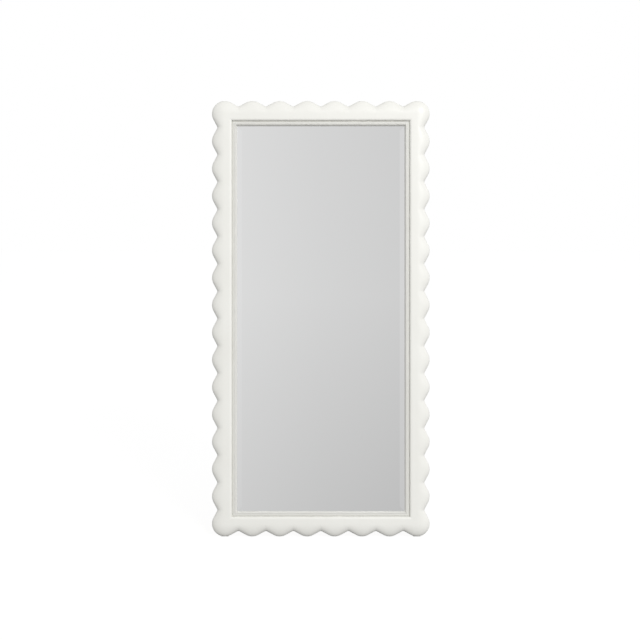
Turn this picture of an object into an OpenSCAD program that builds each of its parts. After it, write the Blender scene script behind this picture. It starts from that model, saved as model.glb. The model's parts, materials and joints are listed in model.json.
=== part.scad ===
// Scalloped floor mirror that leans back on a folding easel leg.
// Millimetres, +Z up, the glass faces -Y. The origin is on the floor under the middle.

/* [Frame] */
// Width across the scalloped frame
frame_w = 914.4; // [760:1:1120]
// Height of the scalloped frame
frame_h = 1828.8; // [1500:1:2200]
// Radius of a lobe's rounded tip
lobe_r = 53.5; // [48:0.5:58]
// Slope of a lobe's straight flank
flank_deg = 28; // [25:1:32]
// Radius of the rounded valley between two lobes
valley_r = 10; // [6:1:14]
// Width of the moulding from the lobe tips to the inner edge
band_w = 84; // [78:0.5:92]
// Rise of the puffed face above its side wall
puff_h = 22; // [14:1:26]
// Thickness of the moulding
mould_t = 34; // [30:0.5:40]

/* [Glass] */
// Visible width of the stepped liner
liner_w = 21.5; // [19:0.5:26]
// Thickness of the mirror glass
glass_t = 5; // [4:0.5:6]
// Width of the ground bevel
bevel_w = 25.4; // [15:0.1:32]

/* [Stand] */
// Angle that the mirror leans back
lean = 7; // [5:0.5:9]
// Angle between the leg and the mirror's back
leg_open = 15; // [12:0.5:18]
// Height of the leg's pivot up the back
pivot_h = 1300; // [1150:5:1400]
// Length of a stay between its pivots
stay_r = 380; // [320:5:420]
// Half the width of the leg
leg_half = 220; // [180:5:250]
// Thickness of the leg's timber
leg_t = 20; // [18:1:24]

/* [Joinery] */
// Depth of the rear battens
batten_t = 22; // [18:1:26]
// Width of a rear batten
batten_w = 75; // [68:1:80]
// Radius of a wood screw's shank
screw_r = 1.9; // [1.5:0.1:2.2]
// Radius of the leg's pivot bolts
pivot_r = 4; // [3:0.5:4.5]
// Radius of the stay bolts
stay_bolt_r = 3; // [2.5:0.5:3.5]

/* [Hidden] */
$fn = 64;
eps = 0.01;
run = 0.05;         // running clearance on a radius
face_gap = 0.3;     // side clearance between parts that turn on each other
lobe_pitch = 114.3; // the pitch that the number of lobes is counted from

// depths behind the front of the frame
puff_y = puff_h;    // foot of the puffed face
back_y = mould_t;
lip_y = 18.5;
glass_y = 20;
bevel_drop = 2;
lip_cover = 5;
film_t = 0.5;
panel_t = 6;
panel_y = back_y - panel_t;
rail_y = back_y + batten_t;

// distances in from the lobe tips
liner_gap = 0.2;
open_d = band_w + liner_w;
glass_d = open_d - lip_cover;
rebate_d = glass_d - 1;
batten_d = open_d + 7 - batten_w;
lip_back_y = glass_y + bevel_drop*(1 - lip_cover/bevel_w) - 0.1;

// rear timber
batten_in_x = frame_w/2 - batten_d - batten_w;
upper_rail_h = 90;
lower_rail_h = 96;
upper_rail_z = pivot_h;

// leg: its pivot line lies leg_t/2 + 2 behind the rails
leg_y = rail_y + leg_t/2 + 2;
stile_w = 40;
tip = leg_open - lean;
slide_open = 2*stay_r*cos(leg_open);
slide_shut = 2*stay_r;
lower_rail_z = pivot_h - (slide_open + slide_shut)/2;

// floor: the frame's lower back edge stands this far above it
frame_clear = 1.5;
lift = frame_clear + back_y*sin(lean);
pivot_world_y = leg_y*cos(lean) + pivot_h*sin(lean);
pivot_world_z = -leg_y*sin(lean) + pivot_h*cos(lean) + lift;
foot_t = 6;

function leg_len(n, h) = (pivot_world_z - h + n*sin(tip))/cos(tip);
function foot_back() = pivot_world_y + leg_len(leg_t/2, 0)*sin(tip) + leg_t/2*cos(tip);

module mirror_frame() translate([0, -mid_y, lift]) rotate([-lean, 0, 0]) children();
module leg_frame() mirror_frame() translate([0, leg_y, pivot_h]) rotate([leg_open, 0, 0]) children();
module stay_frame() leg_frame() translate([0, 0, -stay_r]) rotate([-2*leg_open, 0, 0]) children();
// a section in [depth, height] drawn out along +X
module along_x(len) rotate([90, 0, 90]) linear_extrude(len) children();
module both_sides() for (s = [0, 1]) mirror([s, 0, 0]) children();

/* ---------- scalloped moulding ---------- */

arc_reach = lobe_r*sin(flank_deg);

// outline's distance from the lobes' centre line, a along from a lobe's centre, valleys at half
function reach(a, half) = a <= arc_reach ? sqrt(lobe_r*lobe_r - a*a)
  : let(flank = lobe_r*cos(flank_deg) - (a - arc_reach)*tan(flank_deg))
    a <= valley_start(half) ? flank
  : lobe_r*cos(flank_deg) - (half - arc_reach)*tan(flank_deg) + valley_r/cos(flank_deg)
    - sqrt(valley_r*valley_r - (half - a)*(half - a));

function valley_start(half) = half - valley_r*sin(flank_deg);

function lobes(len) = 1 + round((len - 2*lobe_r)/lobe_pitch);
function pitch(len) = (len - 2*lobe_r)/(lobes(len) - 1);

// places along one pitch, measured from the lobe's centre
function steps(p) = let(v = valley_start(p/2))
  [0, arc_reach/2, arc_reach, v, p/2, p - v, p - arc_reach, p - arc_reach/2];

corner_steps = 4;

// a station is [place along, direction along, direction across, reach]
function stations(len) = let(n = lobes(len), p = pitch(len), k = steps(p)) concat(
  [for (i = [0:corner_steps - 1]) let(f = 45*(1 - i/corner_steps)) [lobe_r, -sin(f), -cos(f), lobe_r]],
  [for (i = [0:n - 2], j = [0:len(k) - 1]) [lobe_r + i*p + k[j], 0, -1, reach(min(k[j], p - k[j]), p/2)]],
  [[len - lobe_r, 0, -1, lobe_r]],
  [for (i = [1:corner_steps]) let(f = 45*i/corner_steps) [len - lobe_r, sin(f), -cos(f), lobe_r]]
);

puff_deg = [90, 66, 44, 22];
roll_w = 9;        // width of the roll at the inner edge
roll_t = 7;        // depth of the roll

// the outer points of a section go by their share of the reach, the inner ones by their distance in
outer = concat([[1, back_y]], [for (f = puff_deg) [sin(f), puff_y - puff_h*cos(f)]]);
inner = concat(
  [[lobe_r, 0]],
  [for (f = [0:30:90]) [band_w - roll_w*(1 - sin(f)), roll_t*(1 - cos(f))]],
  [[band_w, back_y]]
);

// front to back reach of the whole, for the origin
function lean_y(y, z) = y*cos(lean) + z*sin(lean);
function frame_front() = min(concat(
  [for (p = outer) lean_y(p[1], lobe_r - lobe_r*p[0])],
  [for (p = inner) lean_y(p[1], p[0])]
));
mid_y = (frame_front() + foot_back())/2;

ring = len(outer) + len(inner);

function on_mitre(u, d, len) = u <= d + eps ? -1 : u >= len - d - eps ? 1 : 0;

function section_point(st, r, len) = r < len(outer)
  ? [st[0] + st[1]*st[3]*outer[r][0], outer[r][1], lobe_r + st[2]*st[3]*outer[r][0]]
  : let(q = inner[r - len(outer)]) [max(q[0], min(len - q[0], st[0])), q[1], q[0]];

// inner points that would pass the mitre share the end section's point
function point_id(s, r, sts, len) = r < len(outer) ? s*ring + r
  : let(m = on_mitre(sts[s][0], inner[r - len(outer)][0], len))
    m < 0 ? r : m > 0 ? (len(sts) - 1)*ring + r : s*ring + r;

module moulding(len) {
  sts = stations(len);
  n = len(sts);
  points = [for (s = [0:n - 1], r = [0:ring - 1]) section_point(sts[s], r, len)];
  sides = [
    for (s = [0:n - 2], r = [0:ring - 1])
      let(
        q = (r + 1) % ring,
        a = point_id(s, r, sts, len),
        b = point_id(s + 1, r, sts, len),
        c = point_id(s + 1, q, sts, len),
        d = point_id(s, q, sts, len)
      )
      for (t = [[a, b, c], [a, c, d]]) if (t[0] != t[1] && t[1] != t[2] && t[0] != t[2]) t
  ];
  first = [for (r = [0:ring - 1]) (ring - 1 + r) % ring];
  last = [for (r = [ring - 1:-1:0]) (n - 1)*ring + r];
  translate([-len/2, 0, 0])
    polyhedron(points, concat(sides, [first, last]));
}

// turns a bottom piece into the one on another side
module as_top() translate([0, 0, frame_h]) rotate([0, 180, 0]) children();
module as_left() translate([-frame_w/2, 0, frame_h/2]) rotate([0, 90, 0]) children();
module as_right() translate([frame_w/2, 0, frame_h/2]) rotate([0, -90, 0]) children();

// a straight strip along the bottom, its section in [distance in, depth], cut to mitres
module mitred(len, d0, d1) {
  intersection() {
    translate([-len/2, 0, 0]) along_x(len) children();
    rotate([-90, 0, 0]) translate([0, 0, -1])
      linear_extrude(rail_y + 2)
        polygon([[-len/2 + d0, -d0], [len/2 - d0, -d0], [len/2 - d1, -d1], [-len/2 + d1, -d1]]);
  }
}

module paint() color([0.93, 0.92, 0.89]) children();
module timber() color([0.72, 0.56, 0.38]) children();
module zinc() color([0.72, 0.74, 0.76]) children();
module black_rubber() color([0.1, 0.1, 0.1]) children();
module pale_felt() color([0.86, 0.85, 0.82]) children();

module frame_left_stile() paint() mirror_frame() as_left() moulding(frame_h);
module frame_right_stile() paint() mirror_frame() as_right() moulding(frame_h);
module frame_top_rail() paint() mirror_frame() as_top() moulding(frame_w);
module frame_bottom_rail() paint() mirror_frame() moulding(frame_w);

/* ---------- liner, glass and back ---------- */

step_y = 9.5;      // depth of the liner's flat step
groove_y = 13;     // depth of the groove beside the moulding
groove_w = 1.5;    // width of the groove's flat bottom
slope_w = 4;       // width of the slope from the groove up to the step
fine_y = 1;        // depth of the fine groove below the step
fine_w = 0.5;      // half the width of the fine groove
bead_w = 4;
bead_rise = 1;
bead_in = 9.1;     // from the bead's outer foot to the liner's inner edge
lip_arris = 0.5;

// section in [depth, distance in]: groove, slope, flat step, fine groove, bead, slope to the glass
function liner_section() = let(d = band_w + liner_gap, bead_d = open_d - bead_in) concat(
  [[back_y, d], [groove_y, d], [groove_y, d + groove_w], [step_y, d + groove_w + slope_w]],
  [[step_y, bead_d - 2*fine_w], [step_y + fine_y, bead_d - fine_w]],
  [for (a = [0:30:180]) [step_y - bead_rise*sin(a), bead_d + bead_w*(1 - cos(a))/2]],
  [[lip_y, open_d - lip_arris], [lip_y + lip_arris, open_d]],
  [[lip_back_y, open_d], [lip_back_y, rebate_d], [back_y, rebate_d]]
);

module liner(len) mitred(len, band_w, open_d) polygon(liner_section());

module liner_left() paint() mirror_frame() as_left() liner(frame_h);
module liner_right() paint() mirror_frame() as_right() liner(frame_h);
module liner_top() paint() mirror_frame() as_top() liner(frame_w);
module liner_bottom() paint() mirror_frame() liner(frame_w);

// a sheet behind the opening, d in from the lobe tips
module sheet(d, y0, y1)
  translate([-frame_w/2 + d, y0, d]) cube([frame_w - 2*d, y1 - y0, frame_h - 2*d]);

module bevel_cut(len) {
  translate([-len/2 - 1, glass_y, glass_d]) rotate([90, 0, 90]) linear_extrude(len + 2)
    polygon([[-1, -1], [bevel_drop, -1], [bevel_drop, 0], [0, bevel_w], [-1, bevel_w]]);
}

module mirror_glass() color([0.8, 0.84, 0.86]) mirror_frame() difference() {
  sheet(glass_d, glass_y, glass_y + glass_t);
  bevel_cut(frame_w);
  as_top() bevel_cut(frame_w);
  as_left() bevel_cut(frame_h);
  as_right() bevel_cut(frame_h);
}

module safety_film() color([0.55, 0.57, 0.6]) mirror_frame()
  sheet(glass_d, glass_y + glass_t, glass_y + glass_t + film_t);

module foam_sheet() color([0.85, 0.85, 0.82]) mirror_frame()
  sheet(glass_d + 1, glass_y + glass_t + film_t, panel_y);

module back_panel() color([0.5, 0.38, 0.26]) mirror_frame()
  sheet(glass_d + 0.5, panel_y, back_y);

/* ---------- rear timber ---------- */

edge_cut = 3;

module batten_section() polygon([
  [back_y, batten_d], [rail_y - edge_cut, batten_d], [rail_y, batten_d + edge_cut],
  [rail_y, batten_d + batten_w], [back_y, batten_d + batten_w]
]);

brace_arm = 90;
brace_w = 18;
plate_t = 2.5;
plate_len = 100;
screw_len = 16;
pilot_gap = 0.06;
hole_gap = 0.25;

// corner braces lie on the battens' middle lines, with three screws in each arm
brace_d = batten_d + batten_w/2;
brace_at = [20, 44, 68];
brace_screws = concat([for (a = brace_at) [a, 0]], [for (a = brace_at) [0, a]]);

module at_corner() for (v = [0, 1]) translate([0, 0, v*frame_h]) mirror([0, 0, v])
  both_sides() translate([-frame_w/2 + brace_d, rail_y, brace_d]) children();

// joint plates bridge the battens and the cross rails
joint_x = [-38, -16, 16, 38];
module at_joints() both_sides() for (z = [upper_rail_z, lower_rail_z])
  translate([-batten_in_x, rail_y, z]) children();

// strap hangers, midway between the joint plates and the upper corner braces
strap_l = 48;
eye_r = 3.9;
hanger_x = frame_w/2 - brace_d;
brace_end_z = frame_h - brace_d + brace_w/2 - brace_arm;
hanger_z = (upper_rail_z + brace_w/2 + brace_end_z + strap_l - eye_r)/2;
hanger_holes = [-14, -38];
module at_hangers() both_sides() translate([hanger_x, rail_y, hanger_z]) children();

// a shank or a hole that runs from the origin towards -Y
module peg(r, len) rotate([90, 0, 0]) cylinder(r = r, h = len);
module pilot() translate([0, 1, 0]) peg(screw_r + pilot_gap, screw_len + 1);

module corner_pilots() at_corner() for (p = brace_screws) translate([p[0], 0, p[1]]) pilot();
module joint_pilots() at_joints() for (x = joint_x) translate([x, 0, 0]) pilot();
module hanger_pilots() at_hangers() for (z = hanger_holes) translate([0, 0, z]) pilot();

module batten(len) mitred(len, batten_d, batten_d + batten_w) batten_section();

module batten_left() timber() mirror_frame() difference() {
  as_left() batten(frame_h);
  corner_pilots();
  joint_pilots();
  hanger_pilots();
}
module batten_right() timber() mirror_frame() difference() {
  as_right() batten(frame_h);
  corner_pilots();
  joint_pilots();
  hanger_pilots();
}
module batten_top() timber() mirror_frame() difference() {
  as_top() batten(frame_w);
  corner_pilots();
}
module batten_bottom() timber() mirror_frame() difference() {
  batten(frame_w);
  corner_pilots();
  block_bores();
}

module cross_rail(z, h) translate([-batten_in_x, back_y, z - h/2]) cube([2*batten_in_x, batten_t, h]);

module upper_cross_rail() timber() mirror_frame() difference() {
  cross_rail(upper_rail_z, upper_rail_h);
  joint_pilots();
  at_pivot_screws() pilot();
}
module lower_cross_rail() timber() mirror_frame() difference() {
  cross_rail(lower_rail_z, lower_rail_h);
  joint_pilots();
  at_slot_screws() pilot();
}

// pan head screw with its head on the origin's plane and its shank towards -Y
head_r = 3.8;
head_h = 2;
module screw() {
  difference() {
    rotate([-90, 0, 0]) cylinder(r1 = head_r, r2 = head_r - 0.8, h = head_h);
    for (a = [0, 90]) rotate([0, a, 0]) translate([-2.2, head_h - 1, -0.45]) cube([4.4, 2, 0.9]);
  }
  translate([0, eps, 0]) peg(screw_r, screw_len);
}
module plate_hole() translate([0, plate_t + 2, 0]) peg(screw_r + hole_gap, plate_t + 4);

module corner_braces() zinc() mirror_frame() at_corner() difference() {
  union() {
    translate([-brace_w/2, 0, -brace_w/2]) cube([brace_arm, plate_t, brace_w]);
    translate([-brace_w/2, 0, -brace_w/2]) cube([brace_w, plate_t, brace_arm]);
  }
  for (p = brace_screws) translate([p[0], 0, p[1]]) plate_hole();
}
module corner_brace_screws() zinc() mirror_frame() at_corner()
  for (p = brace_screws) translate([p[0], plate_t, p[1]]) screw();

module joint_plates() zinc() mirror_frame() at_joints() difference() {
  translate([-plate_len/2, 0, -brace_w/2]) cube([plate_len, plate_t, brace_w]);
  for (x = joint_x) translate([x, 0, 0]) plate_hole();
}
module joint_plate_screws() zinc() mirror_frame() at_joints()
  for (x = joint_x) translate([x, plate_t, 0]) screw();

/* ---------- foot blocks behind the bottom corner lobes ---------- */

block_w = 30;
block_t = 18;
pad_t = 3;
block_screw_l = 35;
mitre_gap = 2;     // from the screw's tip to the battens' mitre
block_head_z = lobe_r - screw_r - mitre_gap - block_screw_l;

// height of a level above the floor at a depth, in the mirror's own upright
function level_z(y, h) = (h - lift + y*sin(lean))/cos(lean);

module at_blocks() both_sides() translate([frame_w/2 - lobe_r, 0, 0]) children();

// a block between two edges given in [depth, height]
module slice(low, high) translate([-block_w/2, 0, 0]) along_x(block_w) polygon([
  [back_y, low[0]], [back_y + block_t, low[1]], [back_y + block_t, high[1]], [back_y, high[0]]
]);
function level(h) = [level_z(back_y, h), level_z(back_y + block_t, h)];

module block_shank(gap) translate([0, back_y + block_t/2, 0]) {
  translate([0, 0, block_head_z]) cylinder(r = screw_r + gap, h = block_screw_l + 4*gap);
  translate([0, 0, block_head_z - 3 - 60*gap]) cylinder(r = head_r + 4*gap, h = 3 + 60*gap);
}
module block_bores() at_blocks() block_shank(pilot_gap);

module foot_blocks() timber() mirror_frame() at_blocks() difference() {
  slice(level(pad_t), [batten_d, batten_d]);
  block_shank(pilot_gap);
  translate([0, back_y + block_t/2, -20]) cylinder(r = head_r + 4*pilot_gap, h = 20 + block_head_z);
}
module foot_block_screws() zinc() mirror_frame() at_blocks() block_shank(0);
module foot_block_pads() pale_felt() mirror_frame() at_blocks() slice(level(0), level(pad_t));

/* ---------- pivot brackets on the upper cross rail ---------- */

bracket_t = 3;
ear_r = 12;        // round end of a bracket's ear
washer_t = 1.2;
washer_r = 9;
flange_x = leg_half + washer_t + face_gap;
bracket_half = 22;
pivot_screws = [-14, 14];
bracket_w = 32;

// puts its children on the leg's pivot line, in the mirror's own upright
module at_pivot() translate([0, leg_y, pivot_h]) children();
module at_pivot_screws() both_sides() for (z = pivot_screws)
  translate([flange_x + bracket_t + bracket_w/2, rail_y, pivot_h + z]) children();
module bracket_hole() translate([0, bracket_t + 2, 0]) peg(screw_r + hole_gap, bracket_t + 4);

// a disc or a bore across the mirror, from x0 to x1
module across(r, x0, x1) translate([x0, 0, 0]) rotate([0, 90, 0]) cylinder(r = r, h = x1 - x0);
module hex_across(r, x0, x1) translate([x0, 0, 0]) rotate([0, 90, 0])
  cylinder(r = r, h = x1 - x0, $fn = 6);

off_rail = leg_y - rail_y;

module pivot_brackets() zinc() mirror_frame() both_sides() difference() {
  union() {
    at_pivot() translate([flange_x, 0, 0]) along_x(bracket_t) union() {
      circle(r = ear_r);
      polygon([[-off_rail, -bracket_half], [0, -ear_r], [0, ear_r], [-off_rail, bracket_half]]);
    }
    translate([flange_x, rail_y, pivot_h - bracket_half])
      cube([bracket_t + bracket_w, bracket_t, 2*bracket_half]);
  }
  at_pivot() across(pivot_r, 0, frame_w);
  for (z = pivot_screws)
    translate([flange_x + bracket_t + bracket_w/2, rail_y, pivot_h + z]) bracket_hole();
}

stile_in = leg_half - stile_w;
nut_h = 6.5;
bolt_head_h = 5;
bolt_proud = 1.5;  // bolt end past its nut
hex_r = 7.5;

module pivot_bolts() zinc() mirror_frame() both_sides() at_pivot() {
  across(pivot_r, stile_in - face_gap - nut_h - bolt_proud, flange_x + bracket_t + eps);
  hex_across(hex_r, flange_x + bracket_t, flange_x + bracket_t + bolt_head_h);
}
module pivot_washers() zinc() mirror_frame() both_sides() at_pivot() difference() {
  across(washer_r, leg_half + face_gap, flange_x);
  across(pivot_r, 0, frame_w);
}
module pivot_nuts() zinc() mirror_frame() both_sides() at_pivot() difference() {
  hex_across(hex_r, stile_in - face_gap - nut_h, stile_in - face_gap);
  across(pivot_r, 0, frame_w);
}

/* ---------- slotted brackets on the lower cross rail ---------- */

stay_t = 3;
stay_x = leg_half + 2;
slot_x = stay_x + stay_t + 1;
slot_gap = 0.15;
slot_end = 16;     // plate past the slot's end
nose_cut = 6;      // cut corners of the slotted plate
slot_half = (slide_shut - slide_open)/2;
slot_reach = slot_half + slot_end;
slot_screw_in = 8;
slot_screws = [slot_screw_in - slot_reach, slot_reach - slot_screw_in];

module at_slot_screws() both_sides() for (z = slot_screws)
  translate([slot_x + bracket_t + bracket_w/2, rail_y, lower_rail_z + z]) children();

module slot_brackets() zinc() mirror_frame() both_sides() difference() {
  union() {
    translate([slot_x, leg_y, lower_rail_z]) along_x(bracket_t) polygon([
      [-off_rail, -slot_reach], [ear_r - nose_cut, -slot_reach], [ear_r, nose_cut - slot_reach],
      [ear_r, slot_reach - nose_cut], [ear_r - nose_cut, slot_reach], [-off_rail, slot_reach]
    ]);
    translate([slot_x, rail_y, lower_rail_z - slot_reach])
      cube([bracket_t + bracket_w, bracket_t, 2*slot_reach]);
  }
  translate([slot_x - 1, leg_y, lower_rail_z]) along_x(bracket_t + 2) {
    for (s = [-1, 1]) translate([0, s*slot_half]) circle(r = pivot_r + slot_gap);
    translate([-pivot_r - slot_gap, -slot_half]) square([2*(pivot_r + slot_gap), 2*slot_half]);
  }
  for (z = slot_screws)
    translate([slot_x + bracket_t + bracket_w/2, rail_y, lower_rail_z + z]) bracket_hole();
}

module bracket_screws() zinc() mirror_frame() {
  at_pivot_screws() translate([0, bracket_t, 0]) screw();
  at_slot_screws() translate([0, bracket_t, 0]) screw();
}

bumper_t = 1.7;
bumper_r = 9;
module leg_bumpers() black_rubber() mirror_frame() both_sides()
  translate([leg_half - stile_w/2, rail_y + bumper_t, lower_rail_z]) peg(bumper_r, bumper_t);

/* ---------- strap hangers ---------- */

strap_t = 1.5;
strap_w = 16;
eye_bore = 2.1;
eye_off = 5.5;
eye_half = 2.5;
wire_r = 1.6;
ring_r = 14;

module hanger_straps() zinc() mirror_frame() at_hangers() difference() {
  union() {
    translate([-strap_w/2, 0, -strap_l]) cube([strap_w, strap_t, strap_l - 6]);
    translate([-eye_half, 0, -10]) cube([2*eye_half, strap_t, 10]);
    translate([-eye_half, 0, -eye_r + 0.5]) cube([2*eye_half, eye_off, eye_r + 1]);
    translate([0, eye_off, 0]) across(eye_r, -eye_half, eye_half);
  }
  translate([0, eye_off, 0]) across(eye_bore, -10, 10);
  for (z = hanger_holes) translate([0, 0, z]) plate_hole();
}
module hanger_screws() zinc() mirror_frame() at_hangers()
  for (z = hanger_holes) translate([0, strap_t, z]) screw();

// the ring hangs upright from its eye
module hanger_ring(side) zinc() mirror_frame() translate([side*hanger_x, rail_y + eye_off, hanger_z])
  rotate([lean, 0, 0]) translate([0, 0, -ring_r]) rotate([90, 0, 0])
    rotate_extrude() translate([ring_r, 0]) circle(r = wire_r);
module hanger_ring_left() hanger_ring(-1);
module hanger_ring_right() hanger_ring(1);

/* ---------- easel leg ---------- */

bush_wall = 2;
leg_rail_h = 45;
leg_rail_t = leg_t - 2;
leg_screw_r = 2.5;
leg_screw_head = 4.5;
leg_screw_l = 60;
counterbore = 5;
leg_screw_off = 12;
top_rail_drop = 110;    // below the pivot
mid_rail_drop = 480;    // below the stay bolts
low_rail_rise = 130;    // above the feet
leg_rail_at = [-top_rail_drop, -stay_r - mid_rail_drop, low_rail_rise - leg_len(0, 0)];
leg_screw_z = [for (z = leg_rail_at, s = [-1, 1]) z + s*leg_screw_off];

module at_leg_screws() for (z = leg_screw_z) translate([0, 0, z]) children();

module stile_body() difference() {
  translate([stile_in, 0, 0]) along_x(stile_w) union() {
    circle(r = leg_t/2);
    polygon([
      [-leg_t/2, 0], [-leg_t/2, -leg_len(-leg_t/2, foot_t)],
      [leg_t/2, -leg_len(leg_t/2, foot_t)], [leg_t/2, 0]
    ]);
  }
  across(pivot_r + run + bush_wall, 0, frame_w);
  translate([0, 0, -stay_r]) across(stay_bolt_r, 0, frame_w);
  at_leg_screws() {
    across(leg_screw_r + run, 0, frame_w);
    across(leg_screw_head + hole_gap, leg_half - counterbore, frame_w);
  }
}
module leg_left_stile() timber() leg_frame() mirror([1, 0, 0]) stile_body();
module leg_right_stile() timber() leg_frame() stile_body();

module leg_rail(z) timber() leg_frame() difference() {
  translate([-stile_in, -leg_rail_t/2, z - leg_rail_h/2]) cube([2*stile_in, leg_rail_t, leg_rail_h]);
  both_sides() at_leg_screws() across(leg_screw_r + run, stile_in - leg_screw_l/2, frame_w);
}
module leg_top_rail() leg_rail(leg_rail_at[0]);
module leg_middle_rail() leg_rail(leg_rail_at[1]);
module leg_bottom_rail() leg_rail(leg_rail_at[2]);

module leg_rail_screws() zinc() leg_frame() both_sides() at_leg_screws() difference() {
  union() {
    across(leg_screw_r, leg_half - counterbore - leg_screw_l, leg_half - counterbore + eps);
    across(leg_screw_head, leg_half - counterbore, leg_half - counterbore + 3);
  }
  translate([leg_half - counterbore + 1, 0, 0]) rotate([0, 90, 0]) cylinder(r = 2.3, h = 5, $fn = 6);
}

module leg_bushes() color([0.8, 0.65, 0.35]) leg_frame() both_sides() difference() {
  across(pivot_r + run + bush_wall, stile_in, leg_half);
  across(pivot_r + run, 0, frame_w);
}

module leg_feet() black_rubber() leg_frame() both_sides() translate([stile_in, 0, 0])
  along_x(stile_w) polygon([
    [-leg_t/2, -leg_len(-leg_t/2, foot_t)], [-leg_t/2, -leg_len(-leg_t/2, 0)],
    [leg_t/2, -leg_len(leg_t/2, 0)], [leg_t/2, -leg_len(leg_t/2, foot_t)]
  ]);

/* ---------- stays ---------- */

module at_stay_bolt() leg_frame() both_sides() translate([0, 0, -stay_r]) children();

stay_nut_x = stay_x + stay_t + face_gap;
stay_nut_h = 5;
stay_nut_r = 5.8;
stay_head_r = 8;
stay_head_h = 3;
stay_washer_r = 7;

module stay_bolts() zinc() at_stay_bolt() {
  across(stay_bolt_r, stile_in - eps, stay_nut_x + stay_nut_h + 1);
  across(stay_head_r, stile_in - stay_head_h, stile_in);
}
module stay_washers() zinc() at_stay_bolt() difference() {
  across(stay_washer_r, leg_half, stay_x - face_gap);
  across(stay_bolt_r, 0, frame_w);
}
module stay_nuts() zinc() at_stay_bolt() difference() {
  hex_across(stay_nut_r, stay_nut_x, stay_nut_x + stay_nut_h);
  across(stay_bolt_r, 0, frame_w);
}

stay_end = 9;
module stay_bar() translate([stay_x, 0, 0]) difference() {
  along_x(stay_t) union() {
    circle(r = stay_end);
    translate([0, -stay_r]) circle(r = stay_end);
    translate([-stay_end, -stay_r]) square([2*stay_end, stay_r]);
  }
  across(stay_bolt_r + run, -1, stay_t + 1);
  translate([0, 0, -stay_r]) across(pivot_r, -1, stay_t + 1);
}
module stay_left() zinc() stay_frame() mirror([1, 0, 0]) stay_bar();
module stay_right() zinc() stay_frame() stay_bar();

// slide pin: riveted to the stay, with a head behind the slotted plate
rivet_r = 6;
rivet_h = 1.4;
pin_head_r = 7;
pin_head_h = 2.4;
pin_head_x = slot_x + bracket_t + 0.6;
module slide_pin() translate([0, 0, -stay_r]) {
  across(rivet_r, stay_x - rivet_h, stay_x);
  across(pivot_r, stay_x - eps, pin_head_x + eps);
  across(pin_head_r, pin_head_x, pin_head_x + pin_head_h);
}
module slide_pin_left() zinc() stay_frame() mirror([1, 0, 0]) slide_pin();
module slide_pin_right() zinc() stay_frame() slide_pin();

/* ---------- output ---------- */

frame_left_stile();
frame_right_stile();
frame_top_rail();
frame_bottom_rail();
liner_left();
liner_right();
liner_top();
liner_bottom();
mirror_glass();
safety_film();
foam_sheet();
back_panel();
batten_left();
batten_right();
batten_top();
batten_bottom();
upper_cross_rail();
lower_cross_rail();
corner_braces();
corner_brace_screws();
joint_plates();
joint_plate_screws();
foot_blocks();
foot_block_screws();
foot_block_pads();
pivot_brackets();
pivot_bolts();
pivot_washers();
pivot_nuts();
slot_brackets();
bracket_screws();
leg_bumpers();
hanger_straps();
hanger_screws();
hanger_ring_left();
hanger_ring_right();
leg_left_stile();
leg_right_stile();
leg_top_rail();
leg_middle_rail();
leg_bottom_rail();
leg_rail_screws();
leg_bushes();
leg_feet();
stay_bolts();
stay_washers();
stay_nuts();
stay_left();
stay_right();
slide_pin_left();
slide_pin_right();
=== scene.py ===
"""Tall scalloped floor mirror with an easel leg: finishes, smooth mouldings, studio and camera."""

import json
import math

import bmesh
import bpy
from mathutils import Matrix, Vector


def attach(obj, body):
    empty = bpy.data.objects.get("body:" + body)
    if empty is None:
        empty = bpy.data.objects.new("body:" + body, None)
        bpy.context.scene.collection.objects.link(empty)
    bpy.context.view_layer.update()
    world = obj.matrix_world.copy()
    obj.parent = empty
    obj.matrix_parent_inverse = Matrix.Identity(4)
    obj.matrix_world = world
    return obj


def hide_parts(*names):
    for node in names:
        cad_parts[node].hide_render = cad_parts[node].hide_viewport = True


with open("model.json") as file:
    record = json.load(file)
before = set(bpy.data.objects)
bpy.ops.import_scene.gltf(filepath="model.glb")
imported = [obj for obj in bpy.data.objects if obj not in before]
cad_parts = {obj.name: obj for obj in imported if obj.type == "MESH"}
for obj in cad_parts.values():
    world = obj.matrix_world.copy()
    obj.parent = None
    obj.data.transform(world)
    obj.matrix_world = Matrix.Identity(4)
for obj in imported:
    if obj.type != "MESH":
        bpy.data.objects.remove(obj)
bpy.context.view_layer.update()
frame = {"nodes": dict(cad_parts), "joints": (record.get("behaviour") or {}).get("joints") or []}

# ------------------------------------------------------------------ sizes, in metres

WIDTH, HEIGHT = 0.9144, 1.8288
LOBE = 0.0535            # radius of a lobe's tip
PITCH = 0.1143           # usual distance from one lobe to the next
FLANK = math.radians(28)  # slope of the straight flanks between lobe and valley
VALLEY = 0.010           # radius of the valley between two lobes
BAND = 0.084             # moulding, lobe tips to inner edge
PUFF = 0.022             # how far the puffed face rises
FLAT = 0.064             # a row on the flat of the face, measured from the lobe tips
ROLL = 0.009, 0.007      # width and depth of the roll at the moulding's inner edge
BACK = 0.034             # depth of the moulding's back face
OPEN = 0.1055            # lobe tips to the liner's inner edge
EASE = 0.0012            # how much is taken off the edges of the timber
TILT = 7                 # degrees that the mirror leans back
SPREAD = 15              # degrees between the mirror and its open leg

# where the leg's hinge is, on the leaning mirror and on one standing upright on its lobe tips
hinge = Vector(next(j["pos_m"] for j in frame["joints"] if j["name"] == "leg_fold"))
pivot = Vector((0, 0.068, 1.3))
lean = Matrix.Rotation(-math.radians(TILT), 4, "X")
# from the mirror standing upright to where it leans
upright = Matrix.Translation(hinge) @ lean @ Matrix.Translation(-pivot)


# ------------------------------------------------------------------ finishes

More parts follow.
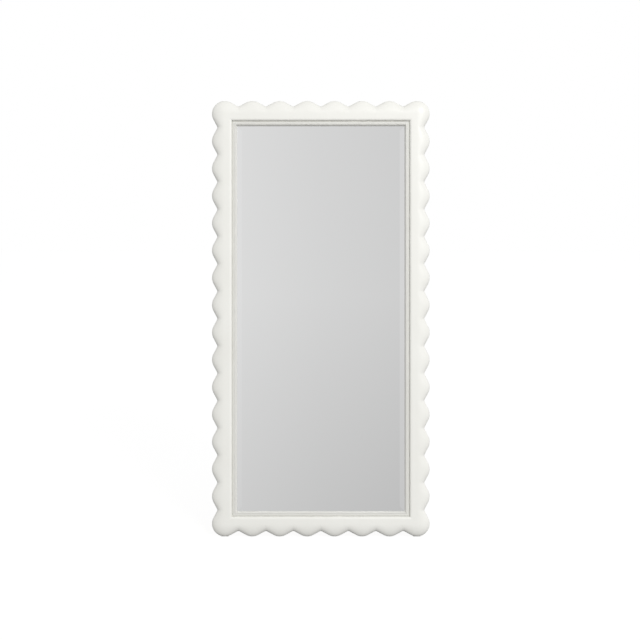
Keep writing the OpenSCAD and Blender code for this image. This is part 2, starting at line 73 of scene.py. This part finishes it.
class Value:
    """A number in a node tree. Arithmetic on it adds the Math nodes."""

    def __init__(self, tree, socket):
        self.tree, self.socket = tree, socket

    def maths(self, operation, *terms):
        return self.tree.node("ShaderNodeMath", {"operation": operation}, dict(enumerate(terms)))

    def __add__(self, other):
        return self.maths("ADD", self, other)

    def __radd__(self, other):
        return self.maths("ADD", other, self)

    def __sub__(self, other):
        return self.maths("SUBTRACT", self, other)

    def __rsub__(self, other):
        return self.maths("SUBTRACT", other, self)

    def __mul__(self, other):
        return self.maths("MULTIPLY", self, other)

    def __rmul__(self, other):
        return self.maths("MULTIPLY", other, self)

    def __abs__(self):
        return self.maths("ABSOLUTE", self)

    def held(self, low, high):
        """The value kept between two limits."""
        return self.maths("MINIMUM", self.maths("MAXIMUM", self, low), high)

    def rising(self, start, end):
        """0 up to start, 1 from end on, and smooth between."""
        return self.tree.node("ShaderNodeMapRange", {"interpolation_type": "SMOOTHSTEP"},
                              {"Value": self, "From Min": start, "From Max": end})


class Nodes:
    """Adds nodes to one node tree. stops are a ramp's (place, grey) pairs."""

    def __init__(self, tree):
        self.tree = tree

    def node(self, kind, settings, inputs, out=0):
        made = self.tree.nodes.new(kind)
        for name, value in settings.items():
            if name == "stops":
                ramp = made.color_ramp.elements
                while len(ramp) < len(value):
                    ramp.new(0.5)
                for stop, (at, shade) in zip(ramp, value):
                    stop.position = at
                    stop.color = (shade, shade, shade, 1)
            else:
                setattr(made, name, value)
        for key, value in inputs.items():
            if isinstance(value, Value):
                self.tree.links.new(value.socket, made.inputs[key])
            else:
                made.inputs[key].default_value = value
        return Value(self, made.outputs[out])


class Finish(Nodes):
    """A named finish with one shader. fixed holds values that are the same all over."""

    def __init__(self, name, fixed):
        self.material = bpy.data.materials.new(name)
        self.material.use_nodes = True
        super().__init__(self.material.node_tree)
        self.shader = self.tree.nodes["Principled BSDF"]
        for socket, value in fixed.items():
            self.shader.inputs[socket].default_value = value
        self.place = self.node("ShaderNodeTexCoord", {}, {}, "Object")

    def feed(self, socket, value):
        self.tree.links.new(value.socket, self.shader.inputs[socket])

    def turned(self, turn, stretch):
        """Object coordinates, turned in degrees about X, Y and Z and then stretched."""
        spun = self.node("ShaderNodeMapping", {"vector_type": "POINT"},
                         {"Vector": self.place, "Rotation": [math.radians(a) for a in turn]})
        return self.node("ShaderNodeVectorMath", {"operation": "MULTIPLY"}, {0: spun, 1: stretch})

    def noise(self, scale, detail=3.0, rough=0.55, at=None):
        return self.node("ShaderNodeTexNoise", {"noise_dimensions": "3D"},
                         {"Vector": at or self.place, "Scale": scale, "Detail": detail,
                          "Roughness": rough})

    def ramp(self, value, stops):
        return self.node("ShaderNodeValToRGB", {"stops": stops}, {"Fac": value})

    def shades(self, mask, first, second):
        """The first colour where the mask is 0 and the second where it is 1."""
        first = first if isinstance(first, Value) else (*first, 1)
        return self.node("ShaderNodeMix", {"data_type": "RGBA"},
                         {0: mask, 6: first, 7: (*second, 1)}, 2)

    def relief(self, height, depth, strength):
        """Bump with a real depth in metres."""
        self.feed("Normal", self.node("ShaderNodeBump", {},
                                      {"Height": height, "Distance": depth, "Strength": strength}))


def ivory_paint(name, depth):
    """Sprayed satin ivory, slightly uneven, with fine orange peel. depth below 1 darkens the paint as
    painted shade.
    """
    f = Finish(name, {"Coat Weight": 0.22, "Coat Roughness": 0.28, "IOR": 1.46})
    # depth scales all three colours; below 1 this is painted shade
    light, low, spot = ([c * depth for c in shade] for shade in
                        ((0.866, 0.862, 0.820), (0.838, 0.832, 0.788), (0.80, 0.785, 0.722)))
    tone = f.noise(5.5, 4, 0.6)
    fine = f.noise(46, 3, 0.5)
    peel = f.noise(420, 2, 0.5)
    dust = f.noise(1500, 2, 0.6)
    warm = f.ramp(tone, [(0.32, 0.0), (0.70, 1.0)])
    shade = f.shades(warm, low, light)
    speck = f.ramp(fine, [(0.60, 0.0), (0.78, 1.0)])
    f.feed("Base Color", f.shades(speck * 0.22, shade, spot))
    f.feed("Roughness", 0.36 + tone * 0.10 + dust * 0.06)
    f.relief(peel * 0.7 + dust * 0.3, 0.00012, 0.55)
    return f.material


def silvered_glass():
    """Polished silvered glass, faintly cool, with the finest wipe marks."""
    f = Finish("silvered_glass", {"Metallic": 1.0, "Base Color": (0.935, 0.937, 0.937, 1)})
    wipe = f.noise(9, 5, 0.65, f.turned((TILT, 0, 18), (1.0, 1.0, 4.5)))
    haze = f.ramp(wipe, [(0.45, 0.0), (0.8, 1.0)])
    f.feed("Roughness", 0.012 + haze * 0.022)
    return f.material


def pine(name, turn, along, tint):
    """Planed pine under clear lacquer. turn squares the wood up, and its grain runs along an axis."""
    f = Finish(name, {"Coat Weight": 0.15, "Coat Roughness": 0.35, "IOR": 1.5})
    squeeze = [22.0, 22.0, 22.0]
    squeeze["XYZ".index(along)] = 1.1
    run = f.turned(turn, squeeze)
    bend = f.noise(1.3, 3, 0.5, run)
    ring = f.node("ShaderNodeTexWave",
                  {"wave_type": "BANDS", "bands_direction": "Y", "wave_profile": "SAW"},
                  {"Vector": run, "Scale": 1.25, "Distortion": 7.0, "Detail": 2.0,
                   "Detail Scale": 0.7, "Detail Roughness": 0.5})
    fibre = f.noise(7.5, 4, 0.7, run)
    pale, dark, deep = ([c * tint for c in shade] for shade in
                        ((0.72, 0.545, 0.335), (0.50, 0.315, 0.155), (0.46, 0.30, 0.16)))
    late = f.ramp(ring, [(0.10, 0.05), (0.72, 0.30), (0.93, 0.80), (1.0, 0.1)])
    streak = f.ramp(fibre, [(0.35, 0.0), (0.72, 1.0)])
    f.feed("Base Color", f.shades(streak * 0.26, f.shades(late, pale, dark), deep))
    f.feed("Roughness", 0.42 + fibre * 0.16 + bend * 0.05)
    f.relief(fibre * 0.6 + ring * 0.4, 0.00022, 0.5)
    return f.material


def hardboard():
    """Brown pressed fibre board with a faint felted surface."""
    f = Finish("pressed_hardboard", {"IOR": 1.5})
    felt = f.noise(160, 5, 0.72)
    cloud = f.noise(4.2, 4, 0.6)
    fleck = f.noise(620, 2, 0.6)
    patch = f.ramp(cloud, [(0.3, 0.0), (0.72, 1.0)])
    body = f.shades(patch, (0.325, 0.205, 0.115), (0.415, 0.275, 0.165))
    strand = f.ramp(felt, [(0.46, 0.0), (0.66, 0.55)])
    f.feed("Base Color", f.shades(strand, body, (0.24, 0.145, 0.078)))
    f.feed("Roughness", 0.58 + felt * 0.2)
    f.relief(felt * 0.7 + fleck * 0.3, 0.0002, 0.5)
    return f.material


def zinc():
    """Bright zinc plate on pressed steel: cloudy crystals, fine drawing lines."""
    f = Finish("zinc_plate", {"Metallic": 1.0})
    cloud = f.noise(70, 4, 0.6)
    line = f.noise(240, 3, 0.6, f.turned((TILT, 0, 0), (1.0, 1.0, 0.12)))
    crystal = f.ramp(cloud, [(0.35, 0.0), (0.7, 1.0)])
    f.feed("Base Color", f.shades(crystal, (0.60, 0.62, 0.645), (0.74, 0.745, 0.74)))
    f.feed("Roughness", 0.27 + cloud * 0.18 + line * 0.08)
    f.relief(line, 0.00005, 0.4)
    return f.material


def brass():
    """Turned brass, stained in places from handling."""
    f = Finish("turned_brass", {"Metallic": 1.0})
    stain = f.noise(300, 4, 0.6)
    clean = f.ramp(stain, [(0.35, 0.0), (0.7, 1.0)])
    f.feed("Base Color", f.shades(clean, (0.62, 0.44, 0.18), (0.80, 0.61, 0.29)))
    f.feed("Roughness", 0.24 + stain * 0.16)
    return f.material


def rubber():
    """Black rubber with a fine grain, dusty in places."""
    f = Finish("black_rubber", {"IOR": 1.5})
    grain = f.noise(900, 3, 0.6)
    dusty = f.noise(34, 4, 0.6)
    dust = f.ramp(dusty, [(0.4, 0.0), (0.75, 1.0)])
    f.feed("Base Color", f.shades(dust, (0.022, 0.022, 0.023), (0.052, 0.050, 0.048)))
    f.feed("Roughness", 0.62 + grain * 0.2)
    f.relief(grain, 0.00012, 0.5)
    return f.material


def felt():
    """Pale pressed wool, a little fuzzy."""
    f = Finish("pale_felt", {"IOR": 1.4, "Sheen Weight": 0.3})
    fuzz = f.noise(480, 5, 0.75)
    f.feed("Base Color", f.shades(fuzz, (0.66, 0.65, 0.61), (0.84, 0.83, 0.79)))
    f.feed("Roughness", 0.82 + fuzz * 0.15)
    f.relief(fuzz, 0.0004, 0.7)
    return f.material


def film():
    """Grey plastic film on the back of the glass."""
    f = Finish("safety_film", {"IOR": 1.5})
    ripple = f.noise(30, 3, 0.5)
    f.feed("Base Color", f.shades(ripple, (0.36, 0.38, 0.41), (0.44, 0.46, 0.49)))
    f.feed("Roughness", 0.4 + ripple * 0.15)
    return f.material


def foam():
    """Pale packing foam with small open cells."""
    f = Finish("cell_foam", {"IOR": 1.4})
    cells = f.noise(700, 2, 0.5)
    f.feed("Base Color", f.shades(cells, (0.70, 0.70, 0.66), (0.86, 0.86, 0.82)))
    f.feed("Roughness", 0.7 + cells * 0.2)
    f.relief(cells, 0.0004, 0.6)
    return f.material


IVORY = ivory_paint("ivory_satin_paint", 1.0)
# the liner takes the same ivory paint darkened to 0.85: painted shade for its recess beside the glass
LINER_IVORY_PAINTED_SHADE = ivory_paint("liner_paint_painted_shade", 0.85)
GLASS = silvered_glass()
ZINC = zinc()
BRASS = brass()
RUBBER = rubber()
HARDBOARD = hardboard()
PINE_UP = pine("pine_upright", (TILT, 0, 0), "Z", 1.0)
PINE_ACROSS = pine("pine_across", (TILT, 0, 0), "X", 1.0)
PINE_LEG = pine("pine_leg", (TILT - SPREAD, 0, 0), "Z", 0.97)
PINE_LEG_ACROSS = pine("pine_leg_rail", (TILT - SPREAD, 0, 0), "X", 0.97)
FELT = felt()
FILM = film()
FOAM = foam()


# ------------------------------------------------------------------ making pieces

def finished(name, bm, material, body, node):
    """Turns a bmesh into a piece that rides on a body and takes a plain node's place."""
    crisp = math.radians(32)  # edges bent more than this stay crisp
    for face in bm.faces:
        face.smooth = True
    for edge in bm.edges:
        edge.smooth = len(edge.link_faces) == 2 and edge.calc_face_angle(0) < crisp
    mesh = bpy.data.meshes.new(name)
    bm.to_mesh(mesh)
    bm.free()
    piece = bpy.data.objects.new(name, mesh)
    bpy.context.scene.collection.objects.link(piece)
    mesh.materials.append(material)
    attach(piece, body)
    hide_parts(node)


def reach(along, half):
    """How far the outline stands from the lobes' middle line, along from a lobe's centre."""
    turn = LOBE * math.sin(FLANK)
    if along <= turn:
        return math.sqrt(LOBE ** 2 - along ** 2)
    at_turn = LOBE * math.cos(FLANK)
    if along <= half - VALLEY * math.sin(FLANK):
        return at_turn - (along - turn) * math.tan(FLANK)
    floor = at_turn - (half - turn) * math.tan(FLANK)
    return floor + VALLEY / math.cos(FLANK) - math.sqrt(VALLEY ** 2 - (half - along) ** 2)


def moulding_stations(length):
    """Places along a piece: (along, sideways direction, inward direction, reach)."""
    tip, flank, valley, corner = 6, 3, 5, 10   # steps along each stretch of the outline
    gaps = round((length - 2 * LOBE) / PITCH)
    half = (length - 2 * LOBE) / gaps / 2
    turn = LOBE * math.sin(FLANK)
    bite = VALLEY * math.sin(FLANK)
    steps = [turn * k / tip for k in range(tip)]
    steps += [turn + (half - bite - turn) * k / flank for k in range(flank)]
    steps += [half - bite * (1 - k / valley) for k in range(valley)]
    lobe = [(-s, reach(s, half)) for s in [half] + steps[:0:-1]] + [(s, reach(s, half)) for s in steps]
    out = [(LOBE, -math.sin(a), -math.cos(a), LOBE)
           for a in (math.radians(45) * (1 - k / corner) for k in range(corner))]
    for n in range(gaps + 1):
        centre = LOBE + n * half * 2
        for offset, far in lobe:
            if (n > 0 or offset >= 0) and (n < gaps or offset <= 0):
                out.append((centre + offset, 0.0, -1.0, far))
    out += [(length - LOBE, math.sin(a), -math.cos(a), LOBE)
            for a in (math.radians(45) * k / corner for k in range(1, corner + 1))]
    return out


def moulding_section():
    """The section: outer points share the reach, inner ones hold their distance in."""
    puffed, rolled = 18, 12    # steps round the puffed edge and the roll
    outer = [(1.0, BACK), (1.0, (BACK + PUFF) / 2)]
    outer += [(math.sin(a), PUFF - PUFF * math.cos(a))
              for a in (math.radians(90 * (1 - k / puffed)) for k in range(puffed))]
    wide, deep = ROLL
    inner = [(LOBE, 0.0), (FLAT, 0.0)]
    inner += [(BAND - wide * (1 - math.sin(a)), deep * (1 - math.cos(a)))
              for a in (math.radians(90) * k / rolled for k in range(rolled + 1))]
    return outer, inner + [(BAND, BACK)]


def to_side(side, length):
    """Moves a bottom piece, made in (along, depth, distance in), to its side of the frame."""
    middle = Matrix.Translation((-length / 2, 0, 0))
    if side == "bottom":
        return middle
    if side == "top":
        return Matrix.Translation((0, 0, HEIGHT)) @ Matrix.Rotation(math.pi, 4, "Y") @ middle
    sign = 1 if side == "left" else -1
    shift = Matrix.Translation((-sign * WIDTH / 2, 0, HEIGHT / 2))
    return shift @ Matrix.Rotation(sign * math.pi / 2, 4, "Y") @ middle


def closed_tube(columns, rows, place):
    """A grid bent into a tube by place(column, row), with its ends filled."""
    bm = bmesh.new()
    bmesh.ops.create_grid(bm, x_segments=columns - 1, y_segments=rows, size=1)
    for v in bm.verts:
        column = round((v.co.x + 1) / 2 * (columns - 1))
        row = round((v.co.y + 1) / 2 * rows) % rows
        v.co = place(column, row)
    bmesh.ops.remove_doubles(bm, verts=bm.verts, dist=2e-6)
    bmesh.ops.dissolve_degenerate(bm, edges=bm.edges, dist=2e-6)
    bmesh.ops.holes_fill(bm, edges=[e for e in bm.edges if e.is_boundary], sides=0)
    bmesh.ops.recalc_face_normals(bm, faces=bm.faces)
    return bm


def moulding(side):
    """One side of the frame, puffed and scalloped, mitred at both ends."""
    length = WIDTH if side in ("top", "bottom") else HEIGHT
    stations = moulding_stations(length)
    outer, inner = moulding_section()

    def place(column, row):
        along, sideways, inward, far = stations[column]
        if row < len(outer):
            share, depth = outer[row]
            return Vector((along + sideways * far * share, depth, LOBE + inward * far * share))
        distance, depth = inner[row - len(outer)]
        return Vector((max(distance, min(length - distance, along)), depth, distance))

    bm = closed_tube(len(stations), len(outer) + len(inner), place)
    bm.transform(upright @ to_side(side, length))
    node = f"frame_{side}_" + ("rail" if side in ("top", "bottom") else "stile")
    finished(f"moulding_{side}", bm, IVORY, "mirror", node)


def softened(corners):
    """A section with its corners rounded. Each corner is (distance in, depth, radius)."""
    steps = 4                # straight pieces in each rounded corner
    points = []
    for before, corner, after in zip(corners[-1:] + corners[:-1], corners, corners[1:] + corners[:1]):
        tip, radius = Vector(corner[:2]), corner[2]
        if radius == 0:
            points.append(tip)
            continue
        back, on = (Vector(before[:2]) - tip).normalized(), (Vector(after[:2]) - tip).normalized()
        half = back.angle(on) / 2
        centre = tip + (back + on).normalized() * radius / math.sin(half)
        first, last = (tip + way * radius / math.tan(half) - centre for way in (back, on))
        points += [centre + first.slerp(last, k / steps) * radius for k in range(steps + 1)]
    return points


def liner_section():
    """Groove, slope, flat step, fine groove, small bead and the slope down to the glass."""
    edge = BAND + 0.0002     # the strip stands just clear of the moulding
    groove, step, lip, under = 0.013, 0.0095, 0.0185, 0.0215   # depths, the last one over the glass
    bead = OPEN - 0.0091     # outer foot of the bead
    wide, rise = 0.002, 0.001  # half the bead's width, and how far it stands up
    cover = 0.006            # how far the lip reaches over the glass
    arc = [(bead + wide - wide * math.cos(a), step - rise * math.sin(a), 0)
           for a in (math.pi * k / 12 for k in range(1, 12))]
    return softened(
        [(edge, BACK, 0), (edge, groove, 0), (edge + 0.0015, groove, 0.0006),
         (edge + 0.0055, step, 0.0012), (bead - 0.001, step, 0.0003),
         (bead - 0.0005, step + 0.001, 0.0001), (bead, step, 0.0001)]
        + arc
        + [(bead + 2 * wide, step, 0.0006), (OPEN - 0.0005, lip, 0.0003), (OPEN, lip + 0.0005, 0.0002),
           (OPEN, under, 0), (OPEN - cover, under, 0), (OPEN - cover, BACK, 0)])


def liner(side):
    """A straight strip, its section drawn out along X and cut to mitres."""
    length = WIDTH if side in ("top", "bottom") else HEIGHT
    bm = bmesh.new()
    corners = [bm.verts.new((0, depth, distance)) for distance, depth in liner_section()]
    outline = bm.faces.new(corners)
    drawn = bmesh.ops.extrude_face_region(bm, geom=[outline])["geom"]
    for v in drawn:
        if isinstance(v, bmesh.types.BMVert):
            v.co.x = length
    for end, way in ((0, -1), (length, 1)):
        bmesh.ops.bisect_plane(bm, geom=bm.verts[:] + bm.edges[:] + bm.faces[:], dist=1e-7,
                               plane_co=(end, 0, 0), plane_no=(way, 0, 1), clear_outer=False,
                               clear_inner=False)
        spare = [v for v in bm.verts if (v.co.x - end) * way + v.co.z > 1e-6]
        bmesh.ops.delete(bm, geom=spare, context="VERTS")
    bmesh.ops.holes_fill(bm, edges=[e for e in bm.edges if e.is_boundary], sides=0)
    bmesh.ops.recalc_face_normals(bm, faces=bm.faces)
    bm.transform(upright @ to_side(side, length))
    finished(f"liner_bead_{side}", bm, LINER_IVORY_PAINTED_SHADE, "mirror", f"liner_{side}")


def eased(node, wood, body):
    """A copy of a timber node with its hard edges taken off."""
    flat, sharp = math.radians(0.4), math.radians(35)
    bm = bmesh.new()
    bm.from_mesh(frame["nodes"][node].data)
    bmesh.ops.remove_doubles(bm, verts=bm.verts, dist=1e-5)
    bmesh.ops.dissolve_limit(bm, angle_limit=flat, verts=bm.verts, edges=bm.edges)
    hard = [e for e in bm.edges if len(e.link_faces) == 2 and e.calc_face_angle(0) > sharp]
    bmesh.ops.bevel(bm, geom=hard, offset=EASE, offset_type="OFFSET", segments=2, profile=0.5,
                    affect="EDGES", clamp_overlap=True, material=-1)
    finished(f"{node}_eased", bm, wood, body, node)


for side in ("left", "right", "top", "bottom"):
    moulding(side)
    liner(side)

TIMBER = {
    PINE_UP: ("mirror", ["batten_left", "batten_right", "foot_blocks"]),
    PINE_ACROSS: ("mirror", ["batten_top", "batten_bottom", "upper_cross_rail", "lower_cross_rail"]),
    PINE_LEG: ("easel_leg", ["leg_left_stile", "leg_right_stile"]),
    PINE_LEG_ACROSS: ("easel_leg", ["leg_top_rail", "leg_middle_rail", "leg_bottom_rail"]),
}
for wood, (body, nodes) in TIMBER.items():
    for node in nodes:
        eased(node, wood, body)

PLAIN = {
    "mirror_glass": GLASS, "safety_film": FILM, "foam_sheet": FOAM, "back_panel": HARDBOARD,
    "leg_bushes": BRASS, "leg_bumpers": RUBBER, "foot_block_pads": FELT, "leg_feet": RUBBER,
}
for name, node in frame["nodes"].items():
    node.data.materials.clear()
    node.data.materials.append(PLAIN.get(name, ZINC))


# ------------------------------------------------------------------ studio

def stage_sheet():
    """A wide white floor. It takes soft shadows but throws no light back on the mirror."""
    spread, below = 14, 0.0004   # from the middle to each edge, and how far it lies under the soles
    bm = bmesh.new()
    bmesh.ops.create_grid(bm, x_segments=1, y_segments=1, size=spread)
    mesh = bpy.data.meshes.new("studio_floor")
    bm.to_mesh(mesh)
    bm.free()
    floor = bpy.data.objects.new("studio_floor", mesh)
    bpy.context.scene.collection.objects.link(floor)
    f = Finish("studio_white", {"Base Color": (0.15, 0.15, 0.15, 1), "Roughness": 0.9,
                                "Specular IOR Level": 0.0,
                                "Emission Color": (1, 1, 1, 1), "Emission Strength": 0.905})
    mesh.materials.append(f.material)
    floor.location.z = -below
    floor.visible_diffuse = floor.visible_glossy = False


def soft_box(name, at, aim, size, power):
    """A square lamp. It stands clear of what the glass and its bevels reflect."""
    light = bpy.data.lights.new(name, "AREA")
    light.shape = "RECTANGLE"
    light.size, light.size_y = size
    light.energy = power
    lamp = bpy.data.objects.new(name, light)
    bpy.context.scene.collection.objects.link(lamp)
    lamp.location = at
    lamp.rotation_euler = (Vector(aim) - Vector(at)).to_track_quat("-Z", "Y").to_euler()


def room():
    """A soft grey room behind white drapes. It lights the mirror and is what the glass shows."""
    world = bpy.data.worlds.new("studio")
    world.use_nodes = True
    bpy.context.scene.world = world
    sky = Nodes(world.node_tree)
    direction = sky.node("ShaderNodeTexCoord", {}, {}, "Generated")
    x, y, z = (sky.node("ShaderNodeSeparateXYZ", {}, {0: direction}, axis) for axis in range(3))
    # the room at large: dark below, lightest a little above the horizon
    around = x * 0.08 + z.held(-1, 0.25) * 0.56 - z.held(0.35, 1) * 0.52 + 0.85
    # the wall that the glass shows: lighter to the upper left, and again far out for the bevels
    ahead = (z.held(0.015, 0.135) * 0.9 - x.held(-0.05, 0.05) + abs(x) * 0.13
             + x.held(0.05, 0.3) * 0.2 + 0.57)
    shade = around + (ahead - around) * (0 - y).rising(0.86, 0.92)
    seen = sky.node("ShaderNodeLightPath", {}, {}, "Is Camera Ray")
    back = sky.tree.nodes["Background"]
    sky.tree.links.new((shade * (1 - seen) + seen).socket, back.inputs["Color"])


def look_from_front():
    """A long lens square to the glass, a little left of and below its middle."""
    seen = 2.681             # width of the view where the frame's flat front is
    middle = upright @ Vector((-0.0035, 0, HEIGHT / 2 - 0.0055))
    out = (upright.to_3x3() @ Vector((0, -1, 0))).normalized()
    lens = bpy.data.cameras.new("front_view")
    lens.lens = 100
    lens.sensor_width = 36
    camera = bpy.data.objects.new("front_view", lens)
    bpy.context.scene.collection.objects.link(camera)
    camera.location = middle + out * seen * lens.lens / lens.sensor_width
    camera.rotation_euler = (-out).to_track_quat("-Z", "Y").to_euler()
    bpy.context.scene.camera = camera


stage_sheet()
soft_box("key", (3.1, -7.6, 5.2), (0, 0, 0.9), (2.9, 2.9), 400)
room()
look_from_front()
bpy.context.scene.view_settings.view_transform = "Standard"
